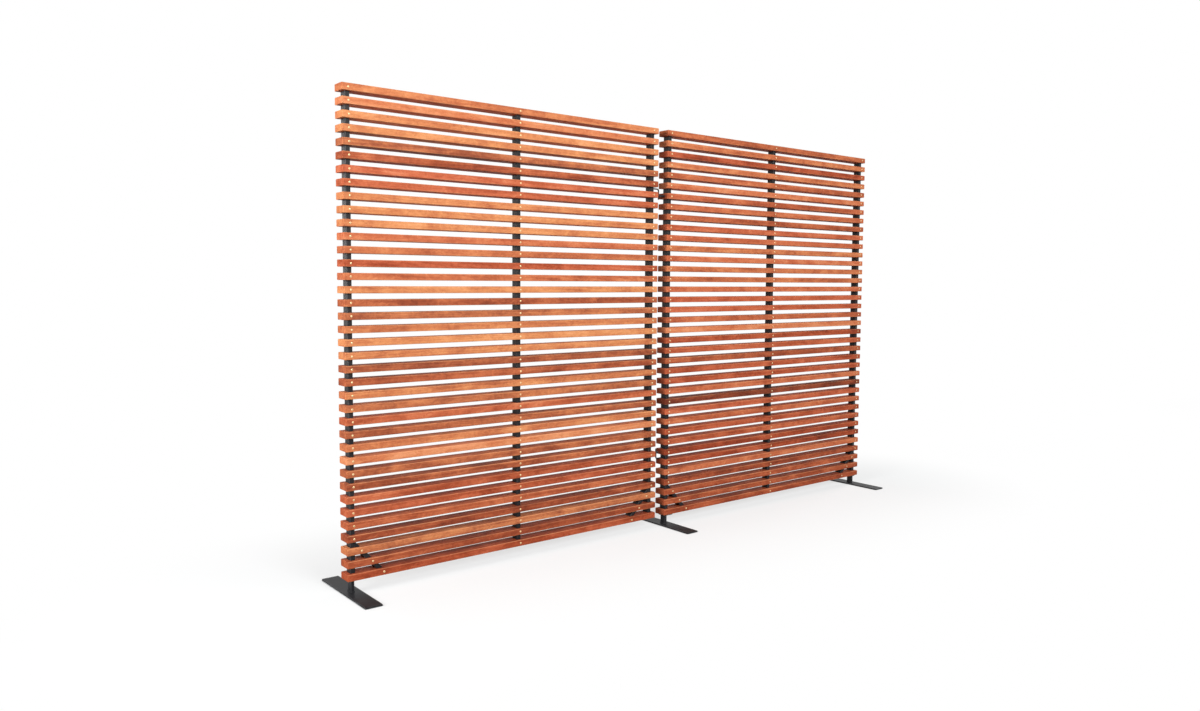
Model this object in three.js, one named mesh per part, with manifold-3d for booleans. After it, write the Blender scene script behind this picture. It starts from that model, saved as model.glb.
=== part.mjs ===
import * as THREE from 'three';
import { mergeVertices } from 'three/addons/utils/BufferGeometryUtils.js';
import Module from 'manifold-3d';

// Garden privacy screen: two slatted timber panels on steel posts, side by side and hooked together.
// Millimetres, +Z up. The panels stand along X and their fronts face -Y.
// The origin lies on the floor, under the pins that the left panel swings on.

// Panels
const panelWidth = 1524;
const panelGap = 58; // between the slat ends of the two panels
const slatCount = 38;
const slatHeight = 26.5;
const slatDepth = 65;
const slatGap = 22.2;
const groundClearance = 52;

// Posts and braces are one size of steel box tube.
const tubeWidth = 18;
const tubeDepth = 38;
const tubeWall = 2.6;
const postInset = 17; // from the slats' ends to an end post
const postCover = 8; // wood above the posts in the top slat
const braceLean = 42.7; // degrees from upright
const bracedSlats = 3; // slats that a brace crosses, from the bottom

// Feet
const footLength = 406;
const footWidth = 66;
const footThickness = 6;
const uprightInsert = 150; // length of a foot's upright inside its post
const stopPlateOuter = 14; // reach of a stop plate from the post's middle, towards the slats' ends
const stopPlateInner = 39;
const stopPlateDepth = 44;
const stopPlateThickness = 6;

// Hooks and eyes. The upper hook is on the left panel and points down, and the lower one is on the
// right panel and points up, so the left panel is lowered on to the right one.
const upperEyeSlat = 7; // counted from the top
const lowerEyeSlat = 32;
const hookDiameter = 6.5;
const hookBendRadius = 9; // at the rod's centre line
const hookHeadroom = 2; // between a hook's arm and the slat next to it
const pinReach = 5; // pin that stands out past the slat that holds its eye
const eyeWidth = 25;
const eyeThickness = 6;
const pinPlay = 0.5; // all round the pin in its eye

// Clearance between pieces that are threaded, welded or screwed together
const fit = 0.3;

const rodSides = 12;
const bendSteps = 8;
const roundSegments = 10;

const wood = new THREE.MeshStandardMaterial({ color: 0xb9703f, roughness: 0.75, metalness: 0 });
const steel = new THREE.MeshStandardMaterial({ color: 0x2e2f31, roughness: 0.5, metalness: 0.4 });

const wasm = await Module();
wasm.setup();

const toSolid = (geometry) => {
  geometry.deleteAttribute('normal');
  geometry.deleteAttribute('uv');
  const merged = mergeVertices(geometry);
  const vertProperties = new Float32Array(merged.getAttribute('position').array);
  const triVerts = new Uint32Array(merged.getIndex().array);
  return new wasm.Manifold(new wasm.Mesh({ numProp: 3, vertProperties, triVerts }));
};

const toGeometry = (solid) => {
  const { vertProperties, triVerts } = solid.getMesh();
  const geometry = new THREE.BufferGeometry();
  geometry.setAttribute('position', new THREE.BufferAttribute(new Float32Array(vertProperties), 3));
  geometry.setIndex(new THREE.BufferAttribute(new Uint32Array(triVerts), 1));
  geometry.computeVertexNormals();
  return geometry;
};

const addPiece = (group, name, solid, material) => {
  const mesh = new THREE.Mesh(toGeometry(solid), material);
  mesh.name = name;
  group.add(mesh);
};

// A block between two corners.
const block = (low, high) => {
  const size = high.map((value, axis) => value - low[axis]);
  const middle = high.map((value, axis) => (value + low[axis]) / 2);
  return toSolid(new THREE.BoxGeometry(...size).translate(...middle));
};

// An outline of [x, z] points, made as deep as given and centred on Y = 0.
const prism = (points, depth) => {
  const shape = new THREE.Shape(points.map(([x, z]) => new THREE.Vector2(x, z)));
  const geometry = new THREE.ExtrudeGeometry(shape, { depth, bevelEnabled: false });
  return toSolid(geometry.rotateX(Math.PI / 2).translate(0, depth / 2, 0));
};

// Heights, with the slats counted from the top, starting at 1
const slatPitch = slatHeight + slatGap;
const slatBottom = (number) => groundClearance + (slatCount - number) * slatPitch;
const slatTop = (number) => slatBottom(number) + slatHeight;
const slatMiddle = (number) => slatBottom(number) + slatHeight / 2;
const postTop = slatTop(1) - postCover;

// Distances of the three posts' middles from the panel's left slat ends
const endPostMiddle = postInset + tubeWidth / 2;
const postMiddles = {
  left: endPostMiddle,
  middle: panelWidth / 2,
  right: panelWidth - endPostMiddle,
};

// An upright box tube's outside, or with a margin the mortise that it passes through.
const postBlock = (middle, margin, bottom, top) => block(
  [middle - tubeWidth / 2 - margin, -tubeDepth / 2 - margin, bottom],
  [middle + tubeWidth / 2 + margin, tubeDepth / 2 + margin, top],
);

// The bore runs past both ends, so every post is an open tube.
const postBore = (middle) => postBlock(middle, -tubeWall, groundClearance - tubeWall, postTop + tubeWall);

const postMortise = (middle) => postBlock(middle, fit, groundClearance - fit, postTop + fit);

// A brace slopes down and inwards from the end post's inner face to the underside of the bottom slat.
// Its head is cut upright and its foot level. It fits just under the first slat that it doesn't cross.
const lean = THREE.MathUtils.degToRad(braceLean);
const braceHeadDistance = postInset + tubeWidth + fit;
const braceHeadMiddle = slatBottom(slatCount - bracedSlats) - fit - tubeWidth / 2 / Math.sin(lean);

// The brace's outline as [distance from the slats' ends, height], with its ends run on by overrun.
const braceOutline = (margin, overrun) => {
  const halfWidth = tubeWidth / 2 + margin;
  const headHeight = braceHeadMiddle + overrun / Math.tan(lean);
  const footHeight = groundClearance - overrun;
  const footDistance = braceHeadDistance + (braceHeadMiddle - footHeight) * Math.tan(lean);
  return [
    [braceHeadDistance - overrun, headHeight + halfWidth / Math.sin(lean)],
    [braceHeadDistance - overrun, headHeight - halfWidth / Math.sin(lean)],
    [footDistance - halfWidth / Math.cos(lean), footHeight],
    [footDistance + halfWidth / Math.cos(lean), footHeight],
  ];
};

const atSide = (points, side) => {
  if (side === 'left') return points;
  return points.map(([distance, height]) => [panelWidth - distance, height]);
};

const bracePrism = (side, margin, overrun) => {
  const outline = atSide(braceOutline(margin, overrun), side);
  return prism(outline, tubeDepth + 2 * margin);
};

const brace = (side) => bracePrism(side, 0, 0).subtract(bracePrism(side, -tubeWall, tubeWall));

const braceMortises = ['left', 'right'].map((side) => bracePrism(side, fit, fit));

// A slot from a slat's end to its end post, for the eye that is fixed to that post.
const eyeSlot = (number, side) => {
  const ends = side === 'left' ? [-fit, postInset] : [panelWidth - postInset, panelWidth + fit];
  const halfWidth = eyeWidth / 2 + fit;
  const halfHeight = eyeThickness / 2 + fit;
  return block(
    [ends[0], -halfWidth, slatMiddle(number) - halfHeight],
    [ends[1], halfWidth, slatMiddle(number) + halfHeight],
  );
};

// One slat with the mortises for the given posts, and for the braces and the eye where it meets them.
const slat = (number, mortises, eyeNumber, eyeSide) => {
  let solid = block([0, -slatDepth / 2, slatBottom(number)], [panelWidth, slatDepth / 2, slatTop(number)]);
  const cuts = [...mortises];
  if (number > slatCount - bracedSlats) cuts.push(...braceMortises);
  if (number === eyeNumber) cuts.push(eyeSlot(number, eyeSide));
  for (const cut of cuts) {
    solid = solid.subtract(cut);
  }
  return solid;
};

const endPost = (middle) => postBlock(middle, 0, groundClearance, postTop).subtract(postBore(middle));

// The middle post carries every second slat, glued and screwed to it as one piece.
const middlePostWithSlats = (mortises, eyeNumber, eyeSide) => {
  let solid = postBlock(postMiddles.middle, 0, groundClearance, postTop);
  for (let number = 2; number <= slatCount; number += 2) {
    solid = solid.add(slat(number, mortises, eyeNumber, eyeSide));
  }
  return solid.subtract(postBore(postMiddles.middle));
};

// A foot: a flat plate on the floor and the bar on it that stands up inside the post.
const uprightBlock = (middle, margin, bottom, top) => {
  return postBlock(middle, margin - tubeWall - fit, bottom, top);
};

const addFoot = (group, name, middle) => {
  const plate = block(
    [middle - footWidth / 2, -footLength / 2, 0],
    [middle + footWidth / 2, footLength / 2, footThickness],
  );
  const upright = uprightBlock(middle, 0, footThickness + fit, groundClearance + uprightInsert);
  addPiece(group, `${name}_foot_plate`, plate, steel);
  addPiece(group, `${name}_foot_upright`, upright, steel);
};

// A plate under the bottom slat, threaded on a foot's upright. It reaches further inwards than outwards.
const addStopPlate = (group, name, middle, inwards) => {
  const ends = [middle + inwards * stopPlateInner, middle - inwards * stopPlateOuter];
  const top = groundClearance - fit;
  const bottom = top - stopPlateThickness;
  const plate = block(
    [Math.min(...ends), -stopPlateDepth / 2, bottom],
    [Math.max(...ends), stopPlateDepth / 2, top],
  );
  const hole = uprightBlock(middle, fit, bottom - fit, top + fit);
  addPiece(group, `${name}_stop_plate`, plate.subtract(hole), steel);
};

// Slats, posts and braces of one panel, with its left slat ends at X = 0 in its own group.
// The posts are named by the end of the screen that they stand at. The eye is at the inner one.
const buildPanel = (name, endNames, eyeNumber) => {
  const group = new THREE.Group();
  const eyeSide = endNames.left === 'inner' ? 'left' : 'right';
  const endMortises = [postMortise(postMiddles.left), postMortise(postMiddles.right)];
  const mortises = [...endMortises, postMortise(postMiddles.middle)];
  for (let number = 1; number <= slatCount; number += 2) {
    const slatName = `${name}_slat_${String(number).padStart(2, '0')}`;
    addPiece(group, slatName, slat(number, mortises, eyeNumber, eyeSide), wood);
  }
  const backbone = middlePostWithSlats(endMortises, eyeNumber, eyeSide);
  addPiece(group, `${name}_middle_post_with_slats`, backbone, wood);
  for (const side of ['left', 'right']) {
    addPiece(group, `${name}_${endNames[side]}_post`, endPost(postMiddles[side]), steel);
    addPiece(group, `${name}_${endNames[side]}_brace`, brace(side), steel);
  }
  return group;
};

// A rod's centre line as a row of stations, so that only its bend is finely divided.
class StationLine extends THREE.Curve {
  constructor(stations) {
    super();
    this.stations = stations;
  }

  getPoint(t) {
    const place = t * (this.stations.length - 1);
    const index = Math.min(Math.floor(place), this.stations.length - 2);
    return this.stations[index].clone().lerp(this.stations[index + 1], place - index);
  }

  getPointAt(u) {
    return this.getPoint(u);
  }

  getTangentAt(u) {
    return this.getTangent(u);
  }
}

const postFace = panelGap / 2 + postInset; // from the pins' axis to either inner post

// A hook: an arm from an inner post, bent up or down into a pin on the swing axis.
// postSide is -1 for the left panel's post and 1 for the right one's.
const hook = (postSide, pointing, armHeight, pinEnd) => {
  const stations = [new THREE.Vector3(postSide * (postFace - fit), 0, armHeight)];
  for (let step = 0; step <= bendSteps; step += 1) {
    const angle = (step / bendSteps) * Math.PI / 2;
    const x = postSide * hookBendRadius * (1 - Math.sin(angle));
    const z = armHeight + pointing * hookBendRadius * (1 - Math.cos(angle));
    stations.push(new THREE.Vector3(x, 0, z));
  }
  stations.push(new THREE.Vector3(0, 0, pinEnd));
  const section = new THREE.Shape();
  section.absarc(0, 0, hookDiameter / 2, 0, 2 * Math.PI);
  return toSolid(new THREE.ExtrudeGeometry(section, {
    curveSegments: rodSides,
    steps: stations.length - 1,
    extrudePath: new StationLine(stations),
  }));
};

// An eye: a flat bar from an inner post, out through the end of a slat, with a round end and a hole
// for the pin on the swing axis.
const eye = (number, postSide) => {
  const halfWidth = eyeWidth / 2;
  const outline = new THREE.Shape();
  outline.moveTo(postFace - fit, -halfWidth);
  outline.lineTo(postFace - fit, halfWidth);
  outline.lineTo(0, halfWidth);
  outline.absarc(0, 0, halfWidth, Math.PI / 2, 3 * Math.PI / 2);
  const hole = new THREE.Path();
  hole.absarc(0, 0, hookDiameter / 2 + pinPlay, 0, 2 * Math.PI);
  outline.holes.push(hole);
  const options = { depth: eyeThickness, bevelEnabled: false, curveSegments: roundSegments };
  const geometry = new THREE.ExtrudeGeometry(outline, options);
  const turn = postSide < 0 ? Math.PI : 0;
  return toSolid(geometry.rotateZ(turn).translate(0, 0, slatMiddle(number) - eyeThickness / 2));
};

const screen = new THREE.Group();

const leftPanel = buildPanel('left', { left: 'outer', right: 'inner' }, lowerEyeSlat);
leftPanel.position.x = -panelGap / 2 - panelWidth;
addFoot(leftPanel, 'left_outer', postMiddles.left);
screen.add(leftPanel);

const rightPanel = buildPanel('right', { left: 'inner', right: 'outer' }, upperEyeSlat);
rightPanel.position.x = panelGap / 2;
addFoot(rightPanel, 'right_inner', postMiddles.left);
addFoot(rightPanel, 'right_outer', postMiddles.right);
addStopPlate(rightPanel, 'right_inner', postMiddles.left, 1);
addStopPlate(rightPanel, 'right_outer', postMiddles.right, -1);
screen.add(rightPanel);

const armOffset = hookHeadroom + hookDiameter / 2;
const upperArm = slatBottom(upperEyeSlat - 1) - armOffset;
const lowerArm = slatTop(lowerEyeSlat + 1) + armOffset;
addPiece(screen, 'upper_hook', hook(-1, -1, upperArm, slatBottom(upperEyeSlat) - pinReach), steel);
addPiece(screen, 'lower_hook', hook(1, 1, lowerArm, slatTop(lowerEyeSlat) + pinReach), steel);
addPiece(screen, 'upper_eye', eye(upperEyeSlat, 1), steel);
addPiece(screen, 'lower_eye', eye(lowerEyeSlat, -1), steel);

export default screen;
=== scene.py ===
import math
import random

import bmesh
import bpy
from mathutils import Matrix, Vector


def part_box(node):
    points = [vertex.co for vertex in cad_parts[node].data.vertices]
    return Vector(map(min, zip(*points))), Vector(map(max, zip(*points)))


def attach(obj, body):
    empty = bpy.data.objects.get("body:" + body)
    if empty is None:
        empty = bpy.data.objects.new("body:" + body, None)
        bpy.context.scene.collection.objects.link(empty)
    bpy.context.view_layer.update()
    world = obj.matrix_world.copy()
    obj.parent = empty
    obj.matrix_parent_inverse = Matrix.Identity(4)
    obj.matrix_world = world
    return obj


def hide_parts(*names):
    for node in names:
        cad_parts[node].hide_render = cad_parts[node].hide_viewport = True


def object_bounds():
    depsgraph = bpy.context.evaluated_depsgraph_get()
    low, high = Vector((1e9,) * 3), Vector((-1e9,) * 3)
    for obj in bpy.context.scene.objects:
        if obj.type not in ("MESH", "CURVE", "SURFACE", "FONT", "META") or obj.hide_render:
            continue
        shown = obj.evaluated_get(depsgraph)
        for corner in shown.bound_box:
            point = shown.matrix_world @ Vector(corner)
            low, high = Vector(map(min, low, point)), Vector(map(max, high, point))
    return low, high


# Garden privacy screen: two slatted hardwood panels on black steel posts, hooked together.
# Metres, +Z up, with the fronts towards -Y. The swing axis is at X = 0, Y = 0.

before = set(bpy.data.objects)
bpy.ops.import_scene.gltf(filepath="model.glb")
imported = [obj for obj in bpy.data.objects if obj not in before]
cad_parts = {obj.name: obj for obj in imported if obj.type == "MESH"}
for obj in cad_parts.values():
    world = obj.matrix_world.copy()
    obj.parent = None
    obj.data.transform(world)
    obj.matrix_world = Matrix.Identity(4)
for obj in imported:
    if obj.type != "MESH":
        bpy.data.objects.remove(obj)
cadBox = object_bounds()
scene = bpy.context.scene
print("frame loaded:", len(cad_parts), "nodes")

slatCount = 38
bracedSlats = 3        # from the bottom
braceLean = 42.7       # degrees from upright
gap = 0.0003           # between pieces that touch
panels = ("left", "right")
postEnds = ("outer", "middle", "inner")
bracedEnds = ("outer", "inner")
bodyOf = {"left": "left_panel", "right": "right_panel"}

firstSlat = {panel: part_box(panel + "_slat_01") for panel in panels}
slatPitch = (firstSlat["left"][0].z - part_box("left_slat_03")[0].z) / 2

postBox = {}
for panel in panels:
    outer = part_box(panel + "_outer_post")
    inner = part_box(panel + "_inner_post")
    postBox[panel, "outer"] = outer
    postBox[panel, "inner"] = inner
    postBox[panel, "middle"] = [(outer[k] + inner[k]) / 2 for k in (0, 1)]
tubeSize = postBox["left", "outer"][1] - postBox["left", "outer"][0]


def slatBox(panel, number):
    drop = Vector((0, 0, (number - 1) * slatPitch))
    return firstSlat[panel][0] - drop, firstSlat[panel][1] - drop


def nodesOfSlat(panel, number):
    # every second slat is one CAD solid with the middle post
    if number % 2:
        return [f"{panel}_slat_{number:02d}"]
    return [panel + "_middle_post_with_slats"]


# Node helpers: each makes one node and gives back its output.

def newMaterial(name):
    material = bpy.data.materials.new(name)
    material.use_nodes = True
    material.node_tree.nodes.clear()
    return material, material.node_tree


def addNode(tree, kind, inputs=(), **settings):
    node = tree.nodes.new("ShaderNode" + kind)
    for key, value in settings.items():
        setattr(node, key, value)
    for key, value in dict(inputs).items():
        if isinstance(value, bpy.types.NodeSocket):
            tree.links.new(value, node.inputs[key])
        else:
            node.inputs[key].default_value = value
    return node


def calc(tree, operation, a, b=0.0, clamp=False):
    node = addNode(tree, "Math", {0: a, 1: b}, operation=operation, use_clamp=clamp)
    return node.outputs[0]


def remap(tree, value, fromLow, fromHigh, toLow=0.0, toHigh=1.0):
    sockets = {"Value": value, "From Min": fromLow, "From Max": fromHigh}
    sockets.update({"To Min": toLow, "To Max": toHigh})
    return addNode(tree, "MapRange", sockets, interpolation_type="SMOOTHSTEP").outputs[0]


def shifted(tree, level, layer, amount):
    # moves the level by a noise layer, which is centred on one half
    return calc(tree, "ADD", level, calc(tree, "MULTIPLY", calc(tree, "SUBTRACT", layer, 0.5), amount))


def stretched(tree, vector, scale, shift=(0, 0, 0)):
    return addNode(tree, "Mapping", {"Vector": vector, "Scale": scale, "Location": shift}).outputs[0]


def noise(tree, vector, scale, shift=(0, 0, 0), detail=2.0, roughness=0.5, distortion=0.0):
    sockets = {
        "Vector": stretched(tree, vector, scale, shift),
        "Scale": 1.0,
        "Detail": detail,
        "Roughness": roughness,
        "Distortion": distortion,
    }
    return addNode(tree, "TexNoise", sockets).outputs[0]


def blend(tree, factor, a, b):
    return addNode(tree, "Mix", {0: factor, 6: a, 7: b}, data_type="RGBA").outputs[2]


def ramp(tree, factor, stops):
    node = addNode(tree, "ValToRGB", {0: factor})
    elements = node.color_ramp.elements
    while len(elements) < len(stops):
        elements.new(0.5)
    for element, (place, colour) in zip(elements, stops):
        element.position = place
        element.color = (*colour, 1)
    return node.outputs[0]


def readPoint(tree, name):
    return addNode(tree, "Attribute", attribute_name=name)


def surface(tree, sockets):
    shader = addNode(tree, "BsdfPrincipled", sockets)
    addNode(tree, "OutputMaterial", {"Surface": shader.outputs[0]})


# Oiled red hardwood. The slats carry their own grain space, tone, redness, arris and end as point data.

woodLook = {
    "stops": [
        (0.00, (0.160, 0.036, 0.018)),
        (0.30, (0.360, 0.095, 0.042)),
        (0.55, (0.600, 0.192, 0.077)),
        (0.78, (0.780, 0.312, 0.122)),
        (1.00, (0.900, 0.420, 0.200)),
    ],
    "redStops": [
        (0.00, (0.130, 0.022, 0.010)),
        (0.35, (0.370, 0.066, 0.025)),
        (0.65, (0.600, 0.140, 0.062)),
        (1.00, (0.790, 0.280, 0.140)),
    ],
    "endColour": (0.230, 0.062, 0.024),
    # painted highlight along the rounded edges
    "edgeHighlightColour": (0.860, 0.480, 0.230),
    "poreColour": (0.085, 0.020, 0.010),
    "ringSpacing": 0.0052,
    "swayScale": (2.2, 9, 9),
    "sway": 0.022,
    "layers": {       # scales run along the grain, then across it twice
        "streak": {"scale": (1.6, 70, 70), "detail": 4.0, "roughness": 0.6},
        "patch": {
            "scale": (7, 11, 16), "shift": (3, 1, 7),
            "detail": 3.0, "roughness": 0.55, "distortion": 0.6,
        },
        "ribbon": {
            "scale": (42, 20, 60), "shift": (8, 2, 4),
            "detail": 2.0, "roughness": 0.5, "distortion": 1.2,
        },
        "fibre": {"scale": (28, 850, 850), "detail": 3.0, "roughness": 0.65},
        "pores": {"scale": (90, 2100, 2100), "shift": (5, 5, 1), "detail": 1.0, "roughness": 0.4},
    },
    "toneShift": {    # how far each layer moves the tone
        "patch": 0.832,
        "streak": 0.544,
        "ribbon": 0.40,
        "ring": 0.12,
        "fibre": 0.16,
    },
    "roughness": 0.54,
    "specular": 0.10,
    "bumpDepth": 0.0004,
}


def hardwood():
    look = woodLook
    material, tree = newMaterial("oiled_hardwood")
    space = readPoint(tree, "grainSpace").outputs["Vector"]
    tone = readPoint(tree, "tone").outputs["Fac"]
    redness = readPoint(tree, "redness").outputs["Fac"]
    arris = readPoint(tree, "arris").outputs["Fac"]
    end = readPoint(tree, "end").outputs["Fac"]

    # slow wander of the grain, so that rings and streaks aren't ruler straight
    swayPlace = stretched(tree, space, look["swayScale"])
    sway = addNode(tree, "TexNoise", {"Vector": swayPlace, "Scale": 1.0, "Detail": 2.0}).outputs["Color"]
    centred = addNode(tree, "VectorMath", {0: sway, 1: (0.5, 0.5, 0.5)}, operation="SUBTRACT").outputs[0]
    offset = addNode(tree, "VectorMath", {0: centred, "Scale": look["sway"]}, operation="SCALE").outputs[0]
    warped = addNode(tree, "VectorMath", {0: space, 1: offset}, operation="ADD").outputs[0]

    ringSockets = {
        "Vector": warped,
        "Scale": math.pi / 10 / look["ringSpacing"],    # the texture's own rings are pi / 10 apart
        "Distortion": 1.6,
        "Detail": 3.0,
        "Detail Scale": 1.4,
    }
    layers = {"ring": addNode(
        tree, "TexWave", ringSockets, wave_type="RINGS", rings_direction="X", wave_profile="SAW",
    ).outputs["Fac"]}
    for name, settings in look["layers"].items():
        layers[name] = noise(tree, warped, **settings)
    poreMask = remap(tree, layers["pores"], 0.64, 0.74)

    level = tone
    for name, amount in look["toneShift"].items():
        level = shifted(tree, level, layers[name], amount)

    colour = blend(tree, redness, ramp(tree, level, look["stops"]), ramp(tree, level, look["redStops"]))
    colour = blend(tree, calc(tree, "MULTIPLY", poreMask, 0.55), colour, (*look["poreColour"], 1))
    # painted highlight along the rounded edges of the slats, broken up by the streaks
    paleEdge = calc(tree, "MULTIPLY", arris, remap(tree, layers["streak"], 0.35, 0.65, 0.25, 0.75))
    colour = blend(tree, calc(tree, "MULTIPLY", paleEdge, 0.6), colour, (*look["edgeHighlightColour"], 1))
    endShade = calc(tree, "MULTIPLY", end, remap(tree, layers["ribbon"], 0.3, 0.7, 0.05, 0.30))
    colour = blend(tree, endShade, colour, (*look["endColour"], 1))

    rough = calc(tree, "ADD", look["roughness"], calc(tree, "MULTIPLY", layers["fibre"], 0.12))
    rough = calc(tree, "ADD", rough, calc(tree, "MULTIPLY", poreMask, 0.15))
    rough = calc(tree, "ADD", rough, calc(tree, "MULTIPLY", end, 0.20), clamp=True)

    height = calc(tree, "MULTIPLY", layers["fibre"], 0.5)
    height = calc(tree, "ADD", height, calc(tree, "MULTIPLY", layers["ring"], 0.18))
    height = calc(tree, "SUBTRACT", height, calc(tree, "MULTIPLY", poreMask, 0.5))
    relief = {"Height": height, "Distance": look["bumpDepth"], "Strength": 0.55}
    bump = addNode(tree, "Bump", relief).outputs[0]

    surface(tree, {
        "Base Color": colour,
        "Roughness": rough,
        "Normal": bump,
        "Specular IOR Level": look["specular"],
    })
    return material


# Satin black powder coat: fine orange peel, faint dust and scuffs, paler where edges are rubbed.

steelLook = {
    "coat": (0.014, 0.014, 0.016),
    "dust": (0.040, 0.037, 0.035),
    "paleEdge": (0.085, 0.085, 0.090),
    "roughness": 0.38,
    "specular": 0.14,
    "bumpDepth": 0.00012,
    "layers": {
        "peel": {"scale": (900, 900, 900)},
        "cloud": {"scale": (14, 14, 9), "detail": 4.0, "roughness": 0.6},
        "scuff": {"scale": (60, 300, 300), "shift": (2, 3, 4), "detail": 3.0, "roughness": 0.7},
    },
}


def blackSteel():
    look = steelLook
    material, tree = newMaterial("black_powder_coat")
    place = addNode(tree, "TexCoord").outputs["Object"]
    arris = readPoint(tree, "arris").outputs["Fac"]
    layers = {name: noise(tree, place, **settings) for name, settings in look["layers"].items()}

    dusty = remap(tree, layers["cloud"], 0.42, 0.75, 0.0, 0.45)
    colour = blend(tree, dusty, (*look["coat"], 1), (*look["dust"], 1))
    scuffed = remap(tree, layers["scuff"], 0.66, 0.80, 0.0, 0.35)
    colour = blend(tree, scuffed, colour, (*look["dust"], 1))
    paleEdge = calc(tree, "MULTIPLY", arris, remap(tree, layers["cloud"], 0.40, 0.62, 0.10, 0.75))
    colour = blend(tree, paleEdge, colour, (*look["paleEdge"], 1))

    rough = calc(tree, "ADD", look["roughness"], calc(tree, "MULTIPLY", layers["cloud"], 0.16))
    rough = calc(tree, "ADD", rough, calc(tree, "MULTIPLY", scuffed, 0.4), clamp=True)
    relief = {"Height": layers["peel"], "Distance": look["bumpDepth"], "Strength": 0.35}
    bump = addNode(tree, "Bump", relief).outputs[0]
    surface(tree, {
        "Base Color": colour,
        "Roughness": rough,
        "Normal": bump,
        "Specular IOR Level": look["specular"],
    })
    return material


# Yellow plated screws, with painted shade in the recess, and a little stained.

screwLook = {
    "bright": (0.95, 0.68, 0.36),
    "stain": (0.60, 0.32, 0.12),
    "recessShade": (0.10, 0.045, 0.02),
    "stainLayer": {"scale": (260, 260, 260), "detail": 3.0, "roughness": 0.6},
    "turnedLayer": {"scale": (1600, 300, 1600)},
    "roughness": 0.26,
    "metallic": 0.45,
    "bumpDepth": 0.00006,
}


def platedScrew():
    look = screwLook
    material, tree = newMaterial("yellow_plated_screw")
    place = addNode(tree, "TexCoord").outputs["Object"]
    deep = readPoint(tree, "recessShade").outputs["Fac"]
    stain = noise(tree, place, **look["stainLayer"])
    turned = noise(tree, place, **look["turnedLayer"])
    stained = remap(tree, stain, 0.45, 0.75, 0.0, 0.6)
    colour = blend(tree, stained, (*look["bright"], 1), (*look["stain"], 1))
    # painted shade in the cross recess
    colour = blend(tree, deep, colour, (*look["recessShade"], 1))
    rough = calc(tree, "ADD", look["roughness"], calc(tree, "MULTIPLY", stain, 0.22), clamp=True)
    relief = {"Height": turned, "Distance": look["bumpDepth"], "Strength": 0.3}
    bump = addNode(tree, "Bump", relief).outputs[0]
    surface(tree, {
        "Base Color": colour,
        "Roughness": rough,
        "Normal": bump,
        "Metallic": look["metallic"],
    })
    return material


wood = hardwood()
steel = blackSteel()
brass = platedScrew()
print("materials made")


# Mesh helpers. A ring is a closed row of points, and rings are skinned in order.

def roundedRing(width, depth, radius, steps):
    # (across, along, arris) points round a rectangle with round corners
    ring = []
    for signA, signB, start in ((1, 1, 0), (-1, 1, 90), (-1, -1, 180), (1, -1, 270)):
        for step in range(steps + 1):
            angle = math.radians(start + 90 * step / steps)
            across = signA * (width / 2 - radius) + radius * math.cos(angle)
            along = signB * (depth / 2 - radius) + radius * math.sin(angle)
            ring.append((across, along, math.sin(math.pi * step / steps)))
    return ring


def skin(work, rings, close=True):
    # rings hold (point, arris) pairs
    layer = work.verts.layers.float["arris"]
    rows = []
    for ring in rings:
        row = []
        for point, arris in ring:
            vertex = work.verts.new(point)
            vertex[layer] = arris
            row.append(vertex)
        rows.append(row)
    for low, high in zip(rows, rows[1:]):
        bridge(work, low, high)
    if close:
        work.faces.new(rows[0])
        work.faces.new(rows[-1])
    return rows


def bridge(work, low, high):
    for k in range(len(low)):
        nextK = (k + 1) % len(low)
        work.faces.new((low[k], low[nextK], high[nextK], high[k]))


def newWork():
    work = bmesh.new()
    work.verts.layers.float.new("arris")
    return work


def toMesh(work, name, sharpAngle=40):
    bmesh.ops.recalc_face_normals(work, faces=work.faces)
    mesh = bpy.data.meshes.new(name)
    work.to_mesh(mesh)
    work.free()
    mesh.shade_smooth()
    mesh.set_sharp_from_angle(angle=math.radians(sharpAngle))
    return mesh


def addPiece(name, mesh, material, panel, nodes=()):
    piece = bpy.data.objects.new(name, mesh)
    scene.collection.objects.link(piece)
    mesh.materials.clear()
    mesh.materials.append(material)
    weighted = piece.modifiers.new("even shading", "WEIGHTED_NORMAL")
    weighted.keep_sharp = True
    weighted.weight = 100
    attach(piece, bodyOf[panel])
    if nodes:
        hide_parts(*nodes)
    return piece


# Slats. Each is its own board, with real openings for the posts and the braces.

slatLook = {
    "arris": 0.0026,       # radius of the long edges
    "arrisSpan": 0.586,    # of that radius, from the middle of the round to where it ends
    "endRound": 0.0016,
    "bow": 0.0007,         # the most that a board bends forwards or back
    "sag": 0.00042,
    "shorter": 0.0010,     # the most that a board falls short at an end
    "stations": 14,
    "pithNear": 0.05,
    "pithFar": 0.20,
    "slope": 1.6,          # degrees that the grain runs off the board
    "logReach": 12,        # how far apart in the timber two boards may come from
    "slotRun": 0.02,       # how far an eye's slot is cut past the slat's end
}

# the drop in tone towards the bottom is partly painted shade, as of light from above, and partly the
# boards' own tone
panelLook = {   # tones at the top, the middle and the bottom
    "left": {"tones": (0.61, 0.58, 0.37), "spread": 0.12, "red": 0.30, "redSpread": 0.42},
    "right": {"tones": (0.55, 0.56, 0.35), "spread": 0.12, "red": 0.80, "redSpread": 0.24},
}


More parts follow.
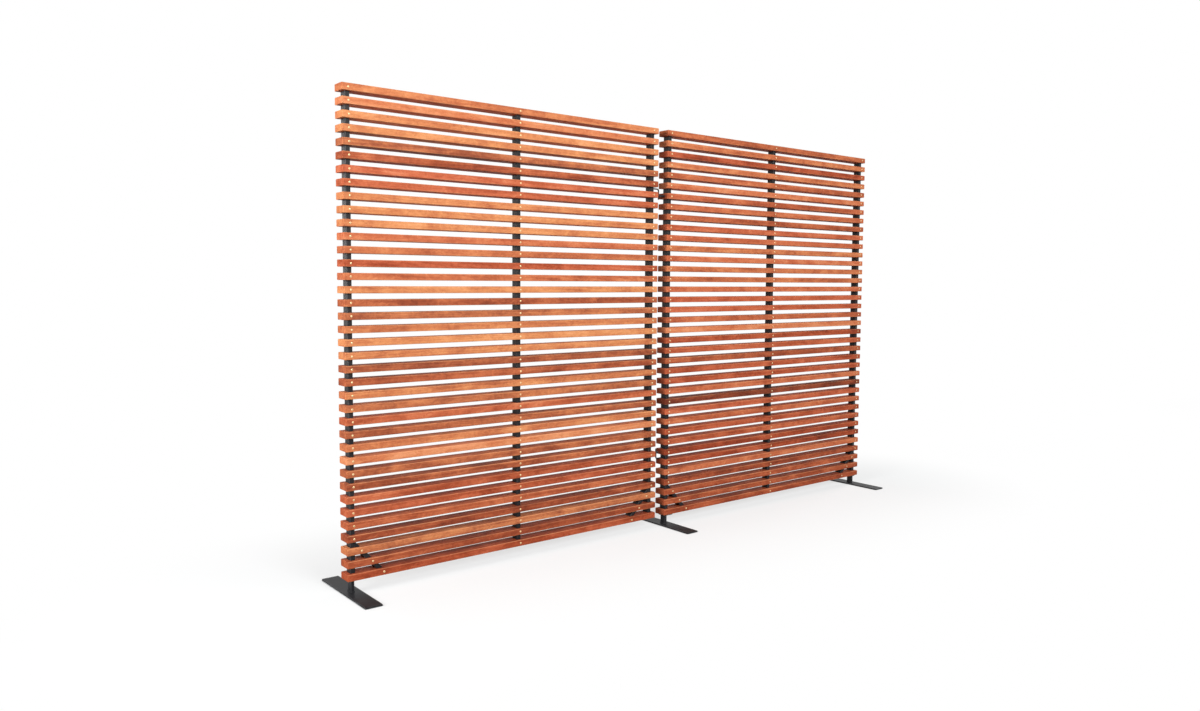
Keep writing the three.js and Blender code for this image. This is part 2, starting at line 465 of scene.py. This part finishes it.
def slatSkin(low, high, bow):
    look = slatLook
    length = high.x - low.x
    middleY = (low.y + high.y) / 2
    middleZ = (low.z + high.z) / 2
    stations = []
    for angle in (90, 60, 30):
        inset = look["endRound"] * (1 - math.cos(math.radians(angle)))
        reach = look["endRound"] * (1 - math.sin(math.radians(angle)))
        stations.append((low.x + reach, inset))
    count = look["stations"]
    for k in range(count + 1):
        stations.append((low.x + look["endRound"] + (length - 2 * look["endRound"]) * k / count, 0))
    stations += [(low.x + high.x - x, inset) for x, inset in reversed(stations[:3])]
    work = newWork()
    rings = []
    for x, inset in stations:
        lift = math.sin(math.pi * (x - low.x) / length)
        deep = high.y - low.y - 2 * inset
        tall = high.z - low.z - 2 * inset
        ring = []
        for across, along, arris in roundedRing(deep, tall, look["arris"], 4):
            point = Vector((x, middleY + bow[0] * lift + across, middleZ + bow[1] * lift + along))
            ring.append((point, arris))
        rings.append(ring)
    skin(work, rings)
    return work


def cutter(name, boxes=(), prisms=()):
    # boxes are (low, high) corners; prisms are closed X-Z outlines with a depth
    work = newWork()
    for low, high in boxes:
        size = high - low
        matrix = Matrix.Translation((low + high) / 2) @ Matrix.Diagonal((*size, 1))
        bmesh.ops.create_cube(work, size=1, matrix=matrix)
    for outline, depth in prisms:
        front = [(Vector((x, -depth / 2, z)), 0) for x, z in outline]
        back = [(Vector((x, depth / 2, z)), 0) for x, z in outline]
        skin(work, [front, back])
    tool = bpy.data.objects.new(name, toMesh(work, name))
    scene.collection.objects.link(tool)
    return tool


def braceLine(panel, end):
    # the brace's slope and where its centre line starts, on the end post's inner face
    low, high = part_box(f"{panel}_{end}_brace")
    lean = math.radians(braceLean)
    towardsRight = postBox[panel, end][0].x < postBox[panel, "middle"][0].x
    direction = 1 if towardsRight else -1
    head = low.x if towardsRight else high.x
    headHeight = high.z - tubeSize.x / 2 / math.sin(lean)
    return {"direction": direction, "head": head, "headHeight": headHeight, "foot": low.z, "lean": lean}


def braceOutline(panel, end, margin):
    line = braceLine(panel, end)
    half = tubeSize.x / 2 + margin
    lean = line["lean"]
    foot = line["foot"] - margin
    run = (line["headHeight"] - foot) * math.tan(lean)
    head = line["head"] - line["direction"] * margin
    headHeight = line["headHeight"] + margin / math.tan(lean)
    footX = line["head"] + line["direction"] * run
    reach = line["direction"] * half / math.cos(lean)
    return [
        (head, headHeight + half / math.sin(lean)),
        (head, headHeight - half / math.sin(lean)),
        (footX - reach, foot),
        (footX + reach, foot),
    ]


def eyeSlot(panel):
    # the slot that the eye bar passes through, from the slat's end to the inner post
    low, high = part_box("upper_eye" if panel == "right" else "lower_eye")
    margin = Vector((slatLook["slotRun"], gap, gap))
    slotLow, slotHigh = low - margin, high + margin
    if panel == "right":
        slotHigh.x = postBox["right", "inner"][0].x
    else:
        slotLow.x = postBox["left", "inner"][1].x
    return slotLow, slotHigh


eyeSlat = {}
for panel, node in (("left", "lower_eye"), ("right", "upper_eye")):
    low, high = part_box(node)
    depth = firstSlat[panel][1].z - (low.z + high.z) / 2
    eyeSlat[panel] = 1 + int(depth / slatPitch)


def grainSpace(rng):
    # turns the board's own place into a place in the log that it was sawn from
    look = slatLook
    slope = [math.radians(rng.uniform(-look["slope"], look["slope"])) for k in (0, 1)]
    angle = rng.uniform(0, 2 * math.pi)
    away = rng.uniform(look["pithNear"], look["pithFar"])
    alongLog = rng.uniform(-look["logReach"], look["logReach"])
    shift = Vector((alongLog, away * math.cos(angle), away * math.sin(angle)))
    turn = Matrix.Rotation(slope[0], 4, "Y") @ Matrix.Rotation(slope[1], 4, "Z")
    return Matrix.Translation(shift) @ turn


def markSlat(mesh, low, high, bow, rng, panel, number):
    look = slatLook
    middle = (low + high) / 2
    half = (high - low) / 2
    space = grainSpace(rng)
    panelTone = panelLook[panel]
    down = (number - 1) / (slatCount - 1)
    # darker towards the bottom: partly painted shade, partly the boards' own tone
    top, centre, bottom = panelTone["tones"]
    tone = top + (centre - top) * 2 * down if down < 0.5 else centre + (bottom - centre) * (2 * down - 1)
    tone += rng.gauss(0, panelTone["spread"])
    redness = min(1, max(0, panelTone["red"] + rng.gauss(0, panelTone["redSpread"])))
    mesh.attributes.new("grainSpace", "FLOAT_VECTOR", "POINT")
    for name in ("tone", "redness", "end"):
        mesh.attributes.new(name, "FLOAT", "POINT")
    grain, tones, reds, ends, arrises = (
        mesh.attributes[name].data for name in ("grainSpace", "tone", "redness", "end", "arris")
    )
    for k, vertex in enumerate(mesh.vertices):
        lift = math.sin(math.pi * (vertex.co.x - low.x) / (high.x - low.x))
        across = half.y - abs(vertex.co.y - middle.y - bow[0] * lift)
        along = half.z - abs(vertex.co.z - middle.z - bow[1] * lift)
        toCorner = math.hypot(across, along) / look["arris"]
        arrises[k].value = min(1, max(0, (1 - toCorner) / look["arrisSpan"]))
        toEnd = half.x - abs(vertex.co.x - middle.x)
        ends[k].value = 1 if toEnd < look["endRound"] * 0.1 else 0
        grain[k].vector = space @ (vertex.co - middle)
        tones[k].value = tone
        reds[k].value = redness


def buildSlats(panel, seed):
    look = slatLook
    rng = random.Random(seed)
    margin = Vector((gap, gap, gap))
    posts = []
    for end in postEnds:
        low, high = postBox[panel, end]
        posts.append((low - margin, high + margin))
    postCutter = cutter("post_cutter", boxes=posts)
    braces = [(braceOutline(panel, end, gap), tubeSize.y + 2 * gap) for end in bracedEnds]
    braceCutter = cutter("brace_cutter", prisms=braces)
    slotCutter = cutter("slot_cutter", boxes=[eyeSlot(panel)])
    boards = []
    for number in range(1, slatCount + 1):
        low, high = slatBox(panel, number)
        low.x += rng.uniform(0, look["shorter"])
        high.x -= rng.uniform(0, look["shorter"])
        bow = (rng.uniform(-1, 1) * look["bow"], -rng.uniform(0, 1) * look["sag"])
        name = f"{panel}_board_{number:02d}"
        board = bpy.data.objects.new(name, toMesh(slatSkin(low, high, bow), name))
        scene.collection.objects.link(board)
        tools = [postCutter]
        if number > slatCount - bracedSlats:
            tools.append(braceCutter)
        if number == eyeSlat[panel]:
            tools.append(slotCutter)
        for tool in tools:
            cut = board.modifiers.new("cut", "BOOLEAN")
            cut.object = tool
            cut.solver = "EXACT"
        boards.append((board, number, low, high, bow))
    graph = bpy.context.evaluated_depsgraph_get()
    cutMeshes = [bpy.data.meshes.new_from_object(board[0].evaluated_get(graph)) for board in boards]
    for (board, number, low, high, bow), mesh in zip(boards, cutMeshes):
        name = board.name
        bpy.data.objects.remove(board)
        mesh.shade_smooth()
        mesh.set_sharp_from_angle(angle=math.radians(40))
        markSlat(mesh, low, high, bow, rng, panel, number)
        addPiece(name, mesh, wood, panel, nodesOfSlat(panel, number))
    for tool in (postCutter, braceCutter, slotCutter):
        bpy.data.objects.remove(tool)
    print(panel, "slats made")


buildSlats("left", 11)
buildSlats("right", 29)


# Posts and braces, all of one box tube.

tubeLook = {"wall": 0.0026, "corner": 0.0022}


def tubeMesh(name, start, end):
    # start and end turn (across, along) into a point on either end plane
    look = tubeLook
    outside = roundedRing(tubeSize.x, tubeSize.y, look["corner"], 4)
    inside = roundedRing(
        tubeSize.x - 2 * look["wall"], tubeSize.y - 2 * look["wall"], look["corner"] * 0.5, 4
    )
    work = newWork()
    rows = []
    for ring in (outside, inside):
        ends = [[(place(across, along), arris) for across, along, arris in ring] for place in (start, end)]
        rows.append(skin(work, ends, close=False))
    bridge(work, rows[0][0], rows[1][0])
    bridge(work, rows[0][1], rows[1][1])
    return toMesh(work, name)


def buildPost(panel, end):
    low, high = postBox[panel, end]
    middle = (low + high) / 2
    mesh = tubeMesh(
        f"{panel}_{end}_tube",
        lambda across, along: Vector((middle.x + across, middle.y + along, low.z)),
        lambda across, along: Vector((middle.x + across, middle.y + along, high.z)),
    )
    node = f"{panel}_{end}_post" if end != "middle" else panel + "_middle_post_with_slats"
    addPiece(f"{panel}_{end}_tube", mesh, steel, panel, [node])


def buildBrace(panel, end):
    line = braceLine(panel, end)
    lean, direction = line["lean"], line["direction"]

    def atHead(across, along):
        height = line["headHeight"] + across / math.sin(lean)
        return Vector((line["head"], along, height))

    def atFoot(across, along):
        run = (line["headHeight"] - line["foot"]) * math.tan(lean)
        x = line["head"] + direction * (run + across / math.cos(lean))
        return Vector((x, along, line["foot"]))

    name = f"{panel}_{end}_strut"
    addPiece(name, tubeMesh(name, atHead, atFoot), steel, panel, [f"{panel}_{end}_brace"])


for panel in panels:
    for end in postEnds:
        buildPost(panel, end)
    for end in bracedEnds:
        buildBrace(panel, end)
print("posts and braces made")


# Plates: feet, stop plates and eyes are flat bar with slightly rounded edges.

plateLook = {
    "footCorner": 0.0015,
    "footEdge": 0.0007,
    "barCorner": 0.0015,
    "stopCorner": 0.003,
    "stopEdge": 0.0006,
    "stopHoleCorner": 0.001,
    "eyeEdge": 0.0006,
    "eyeHole": 0.00375,     # radius
    "eyeStep": 10,          # degrees between the points of its round end
    "edgeFade": 0.0005,     # how far in from an edge the paint looks rubbed
}


def inset(ring, distance):
    # moves each side of an anticlockwise outline inwards
    moved = []
    for k, point in enumerate(ring):
        before = (point - ring[k - 1]).normalized()
        after = (ring[(k + 1) % len(ring)] - point).normalized()
        sideNormal = Vector((-before.y, before.x))
        normal = (sideNormal + Vector((-after.y, after.x))).normalized()
        moved.append(point + normal * distance / max(0.5, normal.dot(sideNormal)))
    return moved


def plateMesh(name, outer, low, high, edge, hole=None):
    profile = [
        (edge + plateLook["edgeFade"], low, 0.0),
        (edge, low, 0.3),
        (edge * 0.3, low + edge * 0.3, 1.0),
        (0, low + edge, 0.3),
        (0, high - edge, 0.3),
        (edge * 0.3, high - edge * 0.3, 1.0),
        (edge, high, 0.3),
        (edge + plateLook["edgeFade"], high, 0.0),
    ]
    work = newWork()

    def walls(outline, sign, close):
        rings = []
        for distance, height, arris in profile:
            ring = inset(outline, sign * distance)
            rings.append([(Vector((point.x, point.y, height)), arris) for point in ring])
        return skin(work, rings, close)

    outside = walls(outer, 1, hole is None)
    if hole is not None:
        inside = walls(hole, -1, False)
        bridge(work, outside[0], inside[0])
        bridge(work, outside[-1], inside[-1])
    return toMesh(work, name, 50)


def rectangle(low, high, radius, steps=2):
    middle = (low + high) / 2
    ring = roundedRing(high.x - low.x, high.y - low.y, radius, steps)
    return [Vector((middle.x + across, middle.y + along)) for across, along, arris in ring]


weldLook = {
    "ripple": 0.14,
    "sides": 8,
    "footRadius": 0.0026,
    "footStep": 0.0011,
    "hookRadius": 0.0011,
    "hookSteps": 24,
    "braceRadius": 0.0012,
    "braceStep": 0.0014,
    "footRise": 0.0006,     # from the plate to the middle of the bead
    "hookSink": 0.0004,     # from the middle of the bead into the post
    "paleEdge": 0.25,
}


def beadMesh(name, path, up, radius):
    # a weld bead round a closed path that lies square to up
    ripple, sides = weldLook["ripple"], weldLook["sides"]
    work = newWork()
    rings = []
    count = len(path)
    for k, point in enumerate(path):
        along = (path[(k + 1) % count] - path[k - 1]).normalized()
        outwards = along.cross(up)
        size = radius * (1 + ripple * math.sin(k * 2.1) + 0.5 * ripple * math.sin(k * 0.7))
        ring = []
        for step in range(sides):
            angle = 2 * math.pi * step / sides
            reach = math.cos(angle) * outwards + math.sin(angle) * up
            ring.append((point + size * reach, weldLook["paleEdge"]))
        rings.append(ring)
    rows = skin(work, rings, close=False)
    bridge(work, rows[-1], rows[0])
    return toMesh(work, name, 180)


def walkRound(points, spacing):
    # evenly spaced points along a closed outline
    path = []
    for k, point in enumerate(points):
        after = points[(k + 1) % len(points)]
        count = max(1, round((after - point).length / spacing))
        path += [point.lerp(after, step / count) for step in range(count)]
    return path


def buildFoot(panel, end):
    node = f"{panel}_{end}_foot"
    low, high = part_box(node + "_plate")
    outline = rectangle(low, high, plateLook["footCorner"])
    plate = plateMesh(node + "_flat", outline, low.z, high.z, plateLook["footEdge"])
    addPiece(node + "_flat", plate, steel, panel, [node + "_plate"])

    barLow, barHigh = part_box(node + "_upright")
    middle = (barLow + barHigh) / 2
    work = newWork()
    section = roundedRing(barHigh.x - barLow.x, barHigh.y - barLow.y, plateLook["barCorner"], 3)
    rings = []
    for height in (barLow.z, barHigh.z):
        rings.append([(Vector((middle.x + a, middle.y + b, height)), arris) for a, b, arris in section])
    skin(work, rings)
    addPiece(node + "_bar", toMesh(work, node + "_bar"), steel, panel, [node + "_upright"])

    seam = rectangle(barLow, barHigh, plateLook["barCorner"])
    beadHeight = high.z + weldLook["footRise"]
    path = walkRound([Vector((*point, beadHeight)) for point in seam], weldLook["footStep"])
    bead = beadMesh(node + "_weld", path, Vector((0, 0, 1)), weldLook["footRadius"])
    addPiece(node + "_weld", bead, steel, panel)


buildFoot("left", "outer")
buildFoot("right", "inner")
buildFoot("right", "outer")


def buildStopPlate(end):
    node = f"right_{end}_stop_plate"
    low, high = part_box(node)
    barLow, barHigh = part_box(f"right_{end}_foot_upright")
    margin = Vector((gap, gap, 0))
    outer = rectangle(low, high, plateLook["stopCorner"], 3)
    hole = rectangle(barLow - margin, barHigh + margin, plateLook["stopHoleCorner"], 3)
    mesh = plateMesh(f"right_{end}_stop", outer, low.z, high.z, plateLook["stopEdge"], hole)
    addPiece(f"right_{end}_stop", mesh, steel, "right", [node])


buildStopPlate("inner")
buildStopPlate("outer")


def buildEye(node, panel):
    low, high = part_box(node)
    half = (high.y - low.y) / 2
    reach = high.x if panel == "right" else -low.x   # from the swing axis to the inner post
    cornerAngle = round(math.degrees(math.atan2(half, reach)), 3)
    angles = set(range(0, 360, plateLook["eyeStep"])) | {cornerAngle, 360 - cornerAngle}
    outer, hole = [], []
    for degrees in sorted(angles):
        ray = Vector((math.cos(math.radians(degrees)), math.sin(math.radians(degrees))))
        if ray.x <= 0:
            length = half
        else:
            length = min(reach / ray.x, half / max(abs(ray.y), 1e-9))
        outer.append(ray * length)
        hole.append(ray * plateLook["eyeHole"])
    if panel == "left":
        outer = [Vector((-point.x, -point.y)) for point in outer]
        hole = [Vector((-point.x, -point.y)) for point in hole]
    mesh = plateMesh(node + "_bar", outer, low.z, high.z, plateLook["eyeEdge"], hole)
    addPiece(node + "_bar", mesh, steel, panel, [node])


buildEye("upper_eye", "right")
buildEye("lower_eye", "left")


# Hooks: round bar from an inner post, bent square into a pin on the swing axis.

hookLook = {"radius": 0.00325, "bend": 0.009, "tip": 0.0008, "sides": 20, "bendSteps": 12}


def buildHook(node, panel):
    look = hookLook
    low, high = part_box(node)
    direction = 1 if panel == "right" else -1       # towards the post
    pointing = -1 if panel == "left" else 1         # the pin points down or up
    postX = high.x if panel == "right" else low.x
    armHeight = (high.z if pointing < 0 else low.z) + pointing * look["radius"]
    pinEnd = low.z if pointing < 0 else high.z
    stations = [(Vector((postX, 0, armHeight)), Vector((-direction, 0, 0)), look["radius"])]
    for step in range(look["bendSteps"] + 1):
        angle = math.pi / 2 * step / look["bendSteps"]
        x = direction * look["bend"] * (1 - math.sin(angle))
        z = armHeight + pointing * look["bend"] * (1 - math.cos(angle))
        heading = Vector((-direction * math.cos(angle), 0, pointing * math.sin(angle)))
        stations.append((Vector((x, 0, z)), heading, look["radius"]))
    along = Vector((0, 0, pointing))
    stations.append((Vector((0, 0, pinEnd - pointing * look["tip"])), along, look["radius"]))
    stations.append((Vector((0, 0, pinEnd)), along, look["radius"] - look["tip"]))
    work = newWork()
    rings = []
    for k, (point, heading, radius) in enumerate(stations):
        sideways = Vector((0, 1, 0))
        upwards = heading.cross(sideways)
        arris = 0.8 if k >= len(stations) - 2 else 0.1      # the pin's tip is rubbed
        ring = []
        for step in range(look["sides"]):
            angle = 2 * math.pi * step / look["sides"]
            outwards = math.cos(angle) * sideways + math.sin(angle) * upwards
            ring.append((point + radius * outwards, arris))
        rings.append(ring)
    skin(work, rings)
    addPiece(node + "_rod", toMesh(work, node + "_rod"), steel, panel, [node])

    reach = look["radius"] + gap
    weldX = postX - direction * weldLook["hookSink"]
    path = []
    for step in range(weldLook["hookSteps"]):
        angle = 2 * math.pi * step / weldLook["hookSteps"]
        path.append(Vector((weldX, reach * math.cos(angle), armHeight + reach * math.sin(angle))))
    bead = beadMesh(node + "_weld", path, Vector((1, 0, 0)), weldLook["hookRadius"])
    addPiece(node + "_weld", bead, steel, panel)


buildHook("upper_hook", "left")
buildHook("lower_hook", "right")
print("feet, stop plates, hooks and eyes made")


# Screws: one pan head with a cross recess, copied down each post. The lowest three hold the brace.

headLook = {
    "radius": 0.0042,
    "height": 0.0013,
    "seat": 0.0003,         # below the wood's face
    "sides": 24,
    "profile": (1.0, 1.0, 0.97, 0.86, 0.66, 0.42, 0.18),    # shares of the radius, from the rim inwards
    "slotWidth": 0.0010,
    "slotLength": 0.0046,
    "slotDepth": 0.0010,
    "wander": 0.0006,       # how far off its mark a screw sits
    "lean": 1.0,            # degrees
}


def screwHead():
    # modelled upright on +Z, then cut with a cross
    look = headLook
    work = newWork()
    rings = []
    for share in look["profile"]:
        height = look["height"] * math.sqrt(max(0, 1 - share ** 2.6)) if rings else -look["seat"]
        ring = []
        radius = look["radius"] * share
        for step in range(look["sides"]):
            angle = 2 * math.pi * step / look["sides"]
            ring.append((Vector((radius * math.cos(angle), radius * math.sin(angle), height)), 0))
        rings.append(ring)
    skin(work, rings)
    head = bpy.data.objects.new("head", toMesh(work, "head", 60))
    scene.collection.objects.link(head)
    tools = []
    for lengthwise in (0, 1):
        half = [look["slotWidth"] / 2, look["slotLength"] / 2]
        if lengthwise:
            half.reverse()
        low = Vector((-half[0], -half[1], look["height"] - look["slotDepth"]))
        high = Vector((half[0], half[1], look["height"] + 0.001))
        tools.append(cutter("cross", boxes=[(low, high)]))
        cut = head.modifiers.new("cut", "BOOLEAN")
        cut.object = tools[-1]
    mesh = bpy.data.meshes.new_from_object(head.evaluated_get(bpy.context.evaluated_depsgraph_get()))
    for leftover in (head, *tools):
        bpy.data.objects.remove(leftover)
    return mesh


def buildScrews(panel, end, head, rng):
    look = headLook
    work = bmesh.new()
    postX = (postBox[panel, end][0].x + postBox[panel, end][1].x) / 2
    for number in range(1, slatCount + 1):
        low, high = slatBox(panel, number)
        z = (low.z + high.z) / 2
        x = postX
        if end != "middle" and number > slatCount - bracedSlats:
            line = braceLine(panel, end)
            x = line["head"] + line["direction"] * (line["headHeight"] - z) * math.tan(line["lean"])
        x += rng.gauss(0, look["wander"])
        z += rng.gauss(0, look["wander"])
        known = len(work.verts)
        work.from_mesh(head)
        work.verts.ensure_lookup_table()
        spin = Matrix.Rotation(rng.uniform(0, math.pi / 2), 4, "Z")
        facing = Matrix.Rotation(math.radians(90), 4, "X")
        tilt = Matrix.Rotation(math.radians(rng.gauss(0, look["lean"])), 4, "Z")
        place = Matrix.Translation((x, low.y, z)) @ tilt @ facing @ spin
        bmesh.ops.transform(work, matrix=place, verts=work.verts[known:])
    name = f"{panel}_{end}_screws"
    mesh = bpy.data.meshes.new(name)
    work.to_mesh(mesh)
    work.free()
    mesh.shade_smooth()
    mesh.set_sharp_from_angle(angle=math.radians(50))
    # marks the floor of the cross recess, where shade is painted
    recessShade = mesh.attributes.new("recessShade", "FLOAT", "POINT")
    floorDepth = firstSlat[panel][0].y - (look["height"] - look["slotDepth"]) - 0.0002
    for k, vertex in enumerate(mesh.vertices):
        recessShade.data[k].value = 1 if vertex.co.y > floorDepth else 0
    addPiece(name, mesh, brass, panel)


head = screwHead()
screwRandom = random.Random(5)
for panel in panels:
    for end in postEnds:
        buildScrews(panel, end, head, screwRandom)
print("screws made")


# Weld beads round the heads of the braces, on the end posts.

def buildBraceWeld(panel, end):
    line = braceLine(panel, end)
    half = tubeSize.x / 2 / math.sin(line["lean"])
    x = line["head"] + line["direction"] * gap
    corners = []
    for signY, signZ in ((-1, -1), (1, -1), (1, 1), (-1, 1)):
        corners.append(Vector((x, signY * tubeSize.y / 2, line["headHeight"] + signZ * half)))
    name = f"{panel}_{end}_strut_weld"
    path = walkRound(corners, weldLook["braceStep"])
    bead = beadMesh(name, path, Vector((1, 0, 0)), weldLook["braceRadius"])
    addPiece(name, bead, steel, panel)


for panel in panels:
    for end in bracedEnds:
        buildBraceWeld(panel, end)
print("brace welds made")


# Floor, which fades to plain white away from the screen.

floorLook = {
    "size": 60,
    "seenColour": (0.925, 0.952, 0.958),
    "shadedColour": (0.340, 0.350, 0.355),   # close beside the feet
    "bounceColour": (0.140, 0.140, 0.140),
    "nearWhite": 0.62,      # share of plain white next to the screen
    "fadeFrom": 0.10,       # metres from the screen
    "fadeTo": 1.10,
    "contactReach": 0.045,
    "sunk": 0.0002,         # below the feet
}


def whiteRays(tree):
    # 1 for the rays that see the background: the camera's, and those of gloss and glass
    rays = addNode(tree, "LightPath").outputs
    seen = calc(tree, "MAXIMUM", rays["Is Camera Ray"], rays["Is Glossy Ray"])
    return calc(tree, "MAXIMUM", seen, rays["Is Transmission Ray"])


def buildFloor():
    look = floorLook
    material, tree = newMaterial("studio_floor")
    place = addNode(tree, "NewGeometry").outputs["Position"]
    parts = addNode(tree, "SeparateXYZ", {0: place}).outputs
    beyond = calc(tree, "SUBTRACT", calc(tree, "ABSOLUTE", parts["X"]), cadBox[1].x, clamp=True)
    beside = calc(tree, "ABSOLUTE", parts["Y"])
    squares = calc(tree, "ADD", calc(tree, "POWER", beyond, 2), calc(tree, "POWER", beside, 2))
    away = calc(tree, "SQRT", squares)
    fade = remap(tree, away, look["fadeFrom"], look["fadeTo"], look["nearWhite"], 1.0)
    white = whiteRays(tree)
    hidden = addNode(tree, "AmbientOcclusion", {"Distance": look["contactReach"]}, samples=16).outputs["AO"]
    contact = remap(tree, hidden, 0.50, 0.98)
    factor = calc(tree, "MULTIPLY", calc(tree, "MULTIPLY", fade, white), contact)
    seen = blend(tree, contact, (*look["shadedColour"], 1), (*look["seenColour"], 1))
    shade = blend(tree, white, (*look["bounceColour"], 1), seen)
    matte = addNode(tree, "BsdfDiffuse", {"Color": shade}).outputs[0]
    glow = addNode(tree, "Emission", {"Color": (1, 1, 1, 1), "Strength": 1.0}).outputs[0]
    mix = addNode(tree, "MixShader", {0: factor, 1: matte, 2: glow})
    addNode(tree, "OutputMaterial", {"Surface": mix.outputs[0]})
    half = look["size"] / 2
    mesh = bpy.data.meshes.new("floor")
    corners = [(x * half, y * half, -look["sunk"]) for x, y in ((-1, -1), (1, -1), (1, 1), (-1, 1))]
    mesh.from_pydata(corners, [], [(0, 1, 2, 3)])
    mesh.materials.append(material)
    floor = bpy.data.objects.new("floor", mesh)
    scene.collection.objects.link(floor)


def buildWorld(ambient):
    world = bpy.data.worlds.new("studio")
    world.use_nodes = True
    tree = world.node_tree
    tree.nodes.clear()
    lighting = addNode(tree, "Background", {"Color": (1, 1, 1, 1), "Strength": ambient}).outputs[0]
    seen = addNode(tree, "Background", {"Color": (1, 1, 1, 1), "Strength": 1.0}).outputs[0]
    mix = addNode(tree, "MixShader", {0: whiteRays(tree), 1: lighting, 2: seen})
    addNode(tree, "OutputWorld", {"Surface": mix.outputs[0]})
    scene.world = world


def addLamp(name, place, target, size, power):
    data = bpy.data.lights.new(name, "AREA")
    data.shape = "DISK"
    data.size = size
    data.energy = power
    lamp = bpy.data.objects.new(name, data)
    lamp.location = place
    lamp.rotation_euler = (Vector(target) - Vector(place)).to_track_quat("-Z", "Y").to_euler()
    scene.collection.objects.link(lamp)


lampLook = {
    "key": {"place": (-1.0, -5.7, 3.4), "target": (-0.3, 0, 0.9), "size": 2.4, "power": 266},
    "side": {"place": (-6.2, -1.0, 2.2), "target": (-1.5, 0, 1.0), "size": 3.0, "power": 345},
    "fill": {"place": (2.2, -6.2, 2.6), "target": (0.3, 0, 0.9), "size": 3.0, "power": 100},
    "back": {"place": (-2.6, 5.8, 1.9), "target": (0, 0, 0.9), "size": 2.4, "power": 60},
    "end": {"place": (6.4, 0.7, 2.2), "target": (1.5, 0, 1.0), "size": 2.0, "power": 110},
}

ambientLight = 0.16

buildFloor()
buildWorld(ambientLight)
for name, look in lampLook.items():
    addLamp(name + "_lamp", **look)
print("floor and lights made")


# Camera, matched to the photograph. Its frame is 1200 x 711.

cameraLook = {
    "place": (-2.89491, -3.23587, 1.18178),
    "yaw": 39.33,          # from +Y towards +X
    "down": 3.923,
    "roll": 0.425,
    "lens": 27.478,
    "shift": (-0.01435, -0.01106),
}


def buildCamera():
    look = cameraLook
    yaw, down, roll = (math.radians(look[key]) for key in ("yaw", "down", "roll"))
    forwards = Vector((math.sin(yaw) * math.cos(down), math.cos(yaw) * math.cos(down), -math.sin(down)))
    level = Vector((math.cos(yaw), -math.sin(yaw), 0))
    upright = level.cross(forwards)
    right = math.cos(roll) * level + math.sin(roll) * upright
    up = -math.sin(roll) * level + math.cos(roll) * upright
    data = bpy.data.cameras.new("camera")
    data.sensor_width = 36
    data.sensor_fit = "HORIZONTAL"
    data.lens = look["lens"]
    data.shift_x, data.shift_y = look["shift"]
    data.clip_start = 0.05
    data.clip_end = 200
    camera = bpy.data.objects.new("camera", data)
    turned = Matrix((right, up, -forwards)).transposed().to_4x4()
    camera.matrix_world = Matrix.Translation(look["place"]) @ turned
    scene.collection.objects.link(camera)
    scene.camera = camera


buildCamera()
scene.view_settings.view_transform = "Standard"
